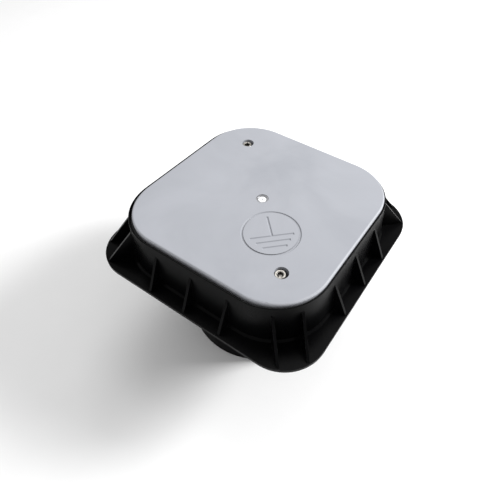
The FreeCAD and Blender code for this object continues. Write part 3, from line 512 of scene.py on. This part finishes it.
def pressed_metal(name, colour, roughness, grime_colour):
    """Short scratches over a soft mill finish."""
    finish = Finish(name, colour, roughness=roughness, metallic=1.0)
    scratches = finish.noise(scale=1.0, where=finish.stretched((260.0, 2400.0, 900.0)))
    grime = finish.noise(scale=140.0, detail=4.0, roughness=0.6)
    grimy = finish.spread(grime, (0.48, 0.78), (0.0, 0.4))
    finish.set_colour(finish.over(grimy, colour, grime_colour))
    finish.set_roughness(finish.spread(scratches, (0.3, 0.7),
                                       (roughness - 0.06, roughness + 0.12)))
    finish.bump(scratches, 0.02 * MM, strength=0.5)
    return finish


washer_metal = pressed_metal("washer_metal", WASHER_STEEL, 0.32, WASHER_GRIME)
bridge_screw_metal = pressed_metal("bridge_screw_metal", BRIGHT_STEEL, 0.28, BRIGHT_GRIME)
put_on(washer_metal, "far_screw_washer", "near_screw_washer", "link_washers", "link_spring_washers")

# %% [markdown]
# ## Threads, heads and nuts
#
# The engineer's screws are plain shanks. A real thread is a ridge that climbs round the shank, one
# pitch per turn. It could be a bump in the material, but the outline would stay smooth, and a
# thread shows most in outline. So each screw, stud and nut is built point by point as a stack of
# rings round its axis.
#
# A ring is a small function that gives the radius and the height at each angle, and that one idea
# makes everything: a circle, a knurled head and a hexagon. The hexagon takes a limit, a circle that
# cuts its corners back.

# %% The shapes a ring can have
def circle_ring(radius, height):
    return lambda angle: (radius, height)


def knurled_ring(radius, height, depth=0.12 * MM, ridges=32):
    return lambda angle: (radius - depth * (0.5 + 0.5 * math.cos(ridges * angle)), height)


def hexagon_ring(flats, height, limit=math.inf):
    """A hexagon with a corner on the x axis and the given width across its flats."""
    side_angle = math.radians(60)

    def ring(angle):
        from_flat = side_angle / 2 - angle % side_angle
        return min(flats / 2 / math.cos(from_flat), limit), height
    return ring


corner_radius = hexagon_ring(17.0 * MM, 0.0)(0.0)[0]
print("a 17 mm hexagon's corner is", round(corner_radius, 5), "m from its axis")

# %% [markdown]
# ## The thread
#
# In a thread, the radius goes up and down with the height and the angle together: the height over
# the pitch, less the part of a turn. A wave that rises and falls once a pitch is made steeper and
# cut off at both ends, which leaves a flat crest and a flat root with slopes between them. Eight
# rings a pitch are enough to show that.

# %% A thread from rings
THREAD_STEPS = 8
SLOPE, ROOT_FLAT = 1.6, 0.3
# Each thread is its crest's radius, its root's radius and its pitch.
M5_THREAD = (2.48 * MM, 2.05 * MM, 0.8 * MM)
M6_THREAD = (2.98 * MM, 2.45 * MM, 1.0 * MM)
M10_THREAD = (4.98 * MM, 4.15 * MM, 1.5 * MM)


def thread_rings(thread, low, high):
    """A right-hand thread, given as its crest, root and pitch, that fades out at its low end."""
    crest, root, pitch = thread
    count = round((high - low) / pitch * THREAD_STEPS)
    rings = []
    for number in range(count + 1):
        height = low + (high - low) * number / count

        def ring(angle, height=height):
            turn = (height / pitch - angle / (2 * math.pi)) % 1.0
            ridge = min(1.0, max(0.0, SLOPE * (1.0 - abs(2.0 * turn - 1.0)) - ROOT_FLAT))
            fade = min(1.0, (height - low) / pitch)
            return root + (crest - root) * ridge * fade, height
        rings.append(ring)
    return rings


print("threads from", THREAD_STEPS, "rings a pitch")

# %% [markdown] ## From rings to a mesh  Each ring becomes a row of points, and four-sided faces
# join a row to the next. The first and last rows are closed with one flat face each, or joined to
# each other when the piece has a hole through it, as a nut has. Edges that turn sharply are marked
# sharp, and all other faces are shaded smooth.

# %% Stack rings into a piece
SEGMENTS = 96
SHARP_EDGE = math.radians(32)


def row_of_points(shape, centre, ring):
    points = []
    for step in range(SEGMENTS):
        angle = 2 * math.pi * step / SEGMENTS
        radius, height = ring(angle)
        points.append(shape.verts.new((centre[0] + radius * math.cos(angle),
                                       centre[1] + radius * math.sin(angle), height)))
    return points


def stack(name, node, body, finish, centres, rings, closed=False):
    """Builds a piece from rings round each centre, in place of one node of the engineer's model."""
    shape = bmesh.new()
    for centre in centres:
        rows = [row_of_points(shape, centre, ring) for ring in rings]
        neighbours = list(zip(rows, rows[1:])) + ([(rows[-1], rows[0])] if closed else [])
        for lower, upper in neighbours:
            for step in range(SEGMENTS):
                after = (step + 1) % SEGMENTS
                shape.faces.new((lower[step], lower[after], upper[after], upper[step]))
        if not closed:
            shape.faces.new(list(reversed(rows[0])))
            shape.faces.new(rows[-1])
    bmesh.ops.recalc_face_normals(shape, faces=shape.faces)
    for face in shape.faces:
        face.smooth = True
    for edge in shape.edges:
        edge.smooth = edge.calc_face_angle(0.0) < SHARP_EDGE
    mesh = bpy.data.meshes.new(name)
    shape.to_mesh(mesh)
    shape.free()
    mesh.materials.append(finish.material)
    piece = bpy.data.objects.new(name, mesh)
    bpy.context.collection.objects.link(piece)
    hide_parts(node)
    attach(piece, body)
    print(f"{name}: {len(rings)} rings, {len(mesh.vertices)} points")

# %% [markdown]
# ## The lid's screws
#
# These are M6 socket-head screws: a 1 mm pitch, a knurled head 10 mm across and 6 mm high, and a
# hexagon socket for a 5 mm key. The socket's mouth has a small slope so that the key finds its way
# in, and its floor is the cone that the drill left.
#
# The rings go up the shank, out under the head, up its side, over its rounded edge, and down into
# the socket.

# %% The lid's screws
TIP_RADIUS, TIP_HEIGHT, SHANK_FILLET = 1.9 * MM, 0.5 * MM, 3.2 * MM
HEAD_HEIGHT, HEAD_RADIUS = 6.0 * MM, 5.0 * MM
FOOT_IN, FOOT_UP = 0.25 * MM, 0.35 * MM
KNURL_DOWN = 1.1 * MM
CROWN = ((0.1 * MM, 0.9 * MM), (0.2 * MM, 0.4 * MM), (0.6 * MM, 0.0))  # each is (inward, down)
MOUTH_RADIUS, MOUTH_DEPTH = 3.15 * MM, 0.35 * MM
KEY_FLATS, KEY_DEPTH = 5.0 * MM, 3.0 * MM
DRILL_RADIUS, DRILL_POINT = 1.0 * MM, 0.5 * MM

for side in ("far", "near"):
    low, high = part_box(f"{side}_screw")
    tip, top = low[2], high[2]
    under_head = top - HEAD_HEIGHT
    shank = [circle_ring(TIP_RADIUS, tip)]
    shank += thread_rings(M6_THREAD, tip + TIP_HEIGHT, under_head)
    shank += [circle_ring(SHANK_FILLET, under_head)]
    head = [circle_ring(HEAD_RADIUS - FOOT_IN, under_head),
            knurled_ring(HEAD_RADIUS, under_head + FOOT_UP),
            knurled_ring(HEAD_RADIUS, top - KNURL_DOWN)]
    head += [circle_ring(HEAD_RADIUS - inward, top - down) for inward, down in CROWN]
    socket = [circle_ring(MOUTH_RADIUS, top), hexagon_ring(KEY_FLATS, top - MOUTH_DEPTH),
              hexagon_ring(KEY_FLATS, top - KEY_DEPTH),
              circle_ring(DRILL_RADIUS, top - KEY_DEPTH - DRILL_POINT)]
    stack(f"{side}_lid_screw", f"{side}_screw", f"{side}_screw_body", screw_metal[side],
          [middle_of(f"{side}_screw")], shank + head + socket)

# %% [markdown]
# ## Studs of the earth link
#
# The studs are M10 hexagon bolts that stand on their heads, 17 mm across flats with a 1.5 mm pitch.
# A real head's corners are cut back by a cone, so the lowest hexagon ring takes a limit. The limit
# lies just inside the flats, so that ring comes out as a full circle, and the cone runs from it up
# to the corners.

# %% The two studs
FLATS, CONE_RADIUS, CONE_HEIGHT = 17.0 * MM, 8.3 * MM, 0.85 * MM
STUD_HEAD, STUD_RADIUS = 6.4 * MM, 5.0 * MM
STUD_END_RADIUS, STUD_END_HEIGHT = 3.7 * MM, 0.8 * MM

for side in ("rod", "line"):
    low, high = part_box(f"{side}_stud")
    bottom, top = low[2], high[2]
    shoulder = bottom + STUD_HEAD
    rings = [hexagon_ring(FLATS, bottom, CONE_RADIUS), hexagon_ring(FLATS, bottom + CONE_HEIGHT),
             hexagon_ring(FLATS, shoulder), circle_ring(STUD_RADIUS, shoulder)]
    rings += thread_rings(M10_THREAD, shoulder, top - STUD_END_HEIGHT)
    rings += [circle_ring(STUD_END_RADIUS, top)]
    stack(f"{side}_stud_bolt", f"{side}_stud", "frame", stud_metal[side],
          [middle_of(f"{side}_stud")], rings)

# %% [markdown]
# ## Nuts of the earth link
#
# A nut has the cone on both faces and a sloped mouth at both ends of its bore. It could be cut from
# a prism with boolean tools, but those leave thin, uneven faces. Here its rings form a closed loop:
# the last one is joined to the first through the bore. Both lock nuts are in one node of the
# engineer's model, so they are one piece here.

# %% The nuts
BORE_RADIUS, BORE_MOUTH, BORE_SLOPE = 5.0 * MM, 5.5 * MM, 0.5 * MM


def nut_rings(bottom, top):
    return [circle_ring(BORE_RADIUS, bottom + BORE_SLOPE), circle_ring(BORE_MOUTH, bottom),
            hexagon_ring(FLATS, bottom, CONE_RADIUS), hexagon_ring(FLATS, bottom + CONE_HEIGHT),
            hexagon_ring(FLATS, top - CONE_HEIGHT), hexagon_ring(FLATS, top, CONE_RADIUS),
            circle_ring(BORE_MOUTH, top), circle_ring(BORE_RADIUS, top - BORE_SLOPE)]


stud_middles = [middle_of(f"{side}_stud") for side in ("rod", "line")]
nut_places = {"rod_nut": stud_middles[:1], "line_nut": stud_middles[1:],
              "stud_lock_nuts": stud_middles}
for node, centres in nut_places.items():
    low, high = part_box(node)
    stack(f"{node}_hexagon", node, "frame", washer_metal, centres,
          nut_rings(low[2], high[2]), closed=True)

# %% [markdown]
# ## The bridge's screws
#
# The bridge is held by two M5 screws with low domed heads and a socket for a 3 mm key. The dome is
# part of a flattened ball: each ring's radius goes with the cosine of a tilt, and its height with
# the sine. Both screws are in one node of the engineer's model, so they are one piece here.

# %% The bridge's screws
PAN_RADIUS, PAN_HEIGHT, DOME_START = 4.5 * MM, 2.5 * MM, 0.5 * MM
PAN_TIP_RADIUS, PAN_TIP_HEIGHT = 1.6 * MM, 0.4 * MM
PAN_FOOT_IN, PAN_FOOT_UP = 0.15 * MM, 0.2 * MM
DOME_TILTS = (0, 15, 30, 45, 58)
PAN_MOUTH, PAN_MOUTH_DEPTH = 2.0 * MM, 0.15 * MM
PAN_KEY_FLATS, PAN_KEY_DEPTH = 3.0 * MM, 1.6 * MM
PAN_DRILL_RADIUS, PAN_DRILL_DEPTH = 0.6 * MM, 1.9 * MM

low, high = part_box("bridge_screws")
tip, top = low[2], high[2]
under_head = top - PAN_HEIGHT
rings = [circle_ring(PAN_TIP_RADIUS, tip)]
rings += thread_rings(M5_THREAD, tip + PAN_TIP_HEIGHT, under_head)
rings += [circle_ring(PAN_RADIUS - PAN_FOOT_IN, under_head),
          circle_ring(PAN_RADIUS, under_head + PAN_FOOT_UP)]
for tilt in map(math.radians, DOME_TILTS):
    dome_height = (PAN_HEIGHT - DOME_START) * math.sin(tilt)
    rings.append(circle_ring(PAN_RADIUS * math.cos(tilt), under_head + DOME_START + dome_height))
rings += [circle_ring(PAN_MOUTH, top), hexagon_ring(PAN_KEY_FLATS, top - PAN_MOUTH_DEPTH),
          hexagon_ring(PAN_KEY_FLATS, top - PAN_KEY_DEPTH),
          circle_ring(PAN_DRILL_RADIUS, top - PAN_DRILL_DEPTH)]
screw_middles = [(low[0] + PAN_RADIUS, 0.0), (high[0] - PAN_RADIUS, 0.0)]
stack("bridge_pan_screws", "bridge_screws", "frame", bridge_screw_metal,
      screw_middles, rings)

# %% [markdown]
# ## The link
#
# The link is a bar of copper with a thin coat of tin. Tin is softer and warmer than steel, with
# cloudy stains where hands touched it, and copper shows faintly through. The stains could be
# painted on by hand. A noise gives the same soft patches, and it is easy to change.

# %% The link's tinned copper
COPPER, TIN, BRIGHT_TIN = (0.56, 0.42, 0.33), (0.66, 0.63, 0.58), (0.72, 0.70, 0.67)

tinned = Finish("tinned_copper", TIN, roughness=0.33, metallic=1.0)
stains = tinned.noise(scale=70.0, detail=5.0, roughness=0.6, distortion=0.5)
brushed = tinned.noise(scale=1.0, where=tinned.stretched((90.0, 1800.0, 900.0)))
tinned.set_colour(tinned.tones(stains, (0.34, COPPER), (0.52, TIN), (0.75, BRIGHT_TIN)))
tinned.set_roughness(tinned.spread(stains, (0.3, 0.7), (0.42, 0.26)))
tinned.bump(brushed, 0.02 * MM, strength=0.5)
put_on(tinned, "link_bar")

# %% [markdown]
# ## The bridge
#
# The bridge is grey plastic with glass fibre in it. Short pale flecks lie along the flow of the
# melt, which ran from end to end. A noise with a smaller scale along x than along y and z is drawn
# out in that direction.

# %% The bridge's plastic
BRIDGE_PLAIN = (0.30, 0.31, 0.32)
BRIDGE_GREY, BRIDGE_FLECK = (0.27, 0.28, 0.29), (0.37, 0.38, 0.385)

bridge_skin = Finish("bridge_plastic_skin", BRIDGE_PLAIN, roughness=0.5)
along_flow = bridge_skin.stretched((250.0, 1600.0, 1600.0))
fibres = bridge_skin.noise(scale=1.0, detail=2.0, where=along_flow)
cast_clouds = bridge_skin.noise(scale=30.0)
bridge_skin.set_colour(bridge_skin.tones(fibres, (0.40, BRIDGE_GREY), (0.70, BRIDGE_FLECK)))
bridge_skin.set_roughness(bridge_skin.spread(cast_clouds, (0.3, 0.7), (0.42, 0.58)))
bridge_skin.bump(fibres, 0.02 * MM, strength=0.5)
put_on(bridge_skin, "terminal_bridge")

# %% [markdown]
# ## The white plug
#
# The plug in the middle of the lid is smooth white plastic, and its dimple is painted grey as a
# painted shade. The dimple is found by occlusion again, with a shorter reach, because it is small.

# %% The plug's plastic
PLUG_PLAIN = (0.80, 0.81, 0.83)
PLUG_DULL, PLUG_WHITE, PLUG_PAINTED_SHADE = (0.74, 0.75, 0.77), (0.82, 0.83, 0.85), (0.25, 0.25, 0.26)
DIMPLE_REACH = 0.9 * MM

plug_skin = Finish("plug_plastic_skin", PLUG_PLAIN, roughness=0.28, Specular_IOR_Level=0.5)
plug_stains = plug_skin.noise(scale=240.0, detail=4.0)
plug_tone = plug_skin.tones(plug_stains, (0.3, PLUG_DULL), (0.6, PLUG_WHITE))
# Painted shade: the dimple is painted grey where occlusion finds it closing in.
dimple_shade_mask = plug_skin.spread(plug_skin.openness(DIMPLE_REACH), (0.92, 0.5), (0.0, 0.6))
plug_skin.set_colour(plug_skin.over(dimple_shade_mask, plug_tone, PLUG_PAINTED_SHADE))
plug_skin.bump(plug_stains, 0.03 * MM, strength=0.4)
put_on(plug_skin, "lifting_plug")

# %% [markdown] ## The studio floor  A wide sheet of white paper, a little under the neck. It could
# curve up behind the object to hide the horizon. A flat one is enough, because the camera looks
# down.

# %% The floor
FLOOR_SIZE, FLOOR_GAP = 6.0, 0.2 * MM
PAPER_PLAIN = (0.90, 0.90, 0.90)
PAPER_DARK, PAPER_LIGHT = (0.895, 0.895, 0.895), (0.905, 0.905, 0.905)

bpy.ops.mesh.primitive_plane_add(size=FLOOR_SIZE, location=(0.0, 0.0, cad_low[2] - FLOOR_GAP))
floor = bpy.context.object
floor.name = "studio_floor"
paper = Finish("studio_paper", PAPER_PLAIN, roughness=0.8)
paper.set_colour(paper.tones(paper.noise(scale=30.0), (0.3, PAPER_DARK), (0.7, PAPER_LIGHT)))
floor.data.materials.append(paper.material)
print("floor:", FLOOR_SIZE, "m wide")

# %% [markdown]
# ## The lights
#
# One panel stands high at the back right and puts bright lines on the edges of the ribs. A wider,
# weaker one hangs overhead. White air all round fills the shadows. Sun lamps would be simpler, but
# their shadows are hard, and a panel's are soft. A panel shines along its own -Z axis, so the
# helper turns that axis towards the object.

# %% The lights
AIR_STRENGTH = 0.60


def soft_panel(name, place, aim, side, watts):
    """A square lamp."""
    light = bpy.data.lights.new(name, "AREA")
    light.shape = "SQUARE"
    light.size = side
    light.energy = watts
    lamp = bpy.data.objects.new(name, light)
    lamp.location = place
    lamp.rotation_mode = "QUATERNION"
    lamp.rotation_quaternion = (Vector(aim) - Vector(place)).to_track_quat("-Z", "Y")
    bpy.context.collection.objects.link(lamp)
    print(f"{name}: {watts} W, {side} m wide")


middle = (cad_low + cad_high) / 2
soft_panel("key_panel", place=(1.05, 0.95, 1.1), aim=middle, side=0.5, watts=36.0)
soft_panel("top_panel", place=(-0.45, 0.6, 1.5), aim=middle, side=0.9, watts=8.0)

world = bpy.data.worlds.new("studio_air")
world.use_nodes = True
sky = world.node_tree.nodes["Background"]
sky.inputs["Color"].default_value = (1.0, 1.0, 1.0, 1.0)
sky.inputs["Strength"].default_value = AIR_STRENGTH
bpy.context.scene.world = world
bpy.context.scene.view_settings.view_transform = "Standard"

# %% [markdown]
# ## The camera
#
# The camera looks down at the cover from its near corner. A camera's place can be given as a point
# or, as here, as the turn and height of the line of sight, the roll about it, and the distance to
# the point it aims at. That point is given from the middle of the lid's top.

# %% The camera
AZIMUTH, ELEVATION, ROLL = (math.radians(angle) for angle in (31.42, 46.08, 2.80))
DISTANCE = 0.4201
AIM_RIGHT, AIM_UP = 0.0178, -0.0253
FOCAL_LENGTH, SENSOR_WIDTH = 31.71, 36.0
SHIFT_X, SHIFT_Y = -0.06, -0.05
NEAREST, FARTHEST = 0.01, 20.0

backward = Vector((math.sin(AZIMUTH) * math.cos(ELEVATION),
                   -math.cos(AZIMUTH) * math.cos(ELEVATION), math.sin(ELEVATION)))
level_right = Vector((math.cos(AZIMUTH), math.sin(AZIMUTH), 0.0))
level_up = backward.cross(level_right)
right = math.cos(ROLL) * level_right + math.sin(ROLL) * level_up
up = math.cos(ROLL) * level_up - math.sin(ROLL) * level_right
lid_middle = Vector((0.0, 0.0, lid_high[2]))
eye = lid_middle + DISTANCE * backward + AIM_RIGHT * right + AIM_UP * up

camera_data = bpy.data.cameras.new("studio_camera")
camera_data.lens, camera_data.sensor_width = FOCAL_LENGTH, SENSOR_WIDTH
camera_data.shift_x, camera_data.shift_y = SHIFT_X, SHIFT_Y
camera_data.clip_start, camera_data.clip_end = NEAREST, FARTHEST
camera = bpy.data.objects.new("studio_camera", camera_data)
turn = Matrix((right, up, backward)).transposed().to_4x4()
camera.matrix_world = Matrix.Translation(eye) @ turn
bpy.context.collection.objects.link(camera)
bpy.context.scene.camera = camera
print("camera at", [round(number, 3) for number in eye])

# %% [markdown]
# ## Sizes
#
# The engineer's model's box is printed where the model is loaded, near the top.
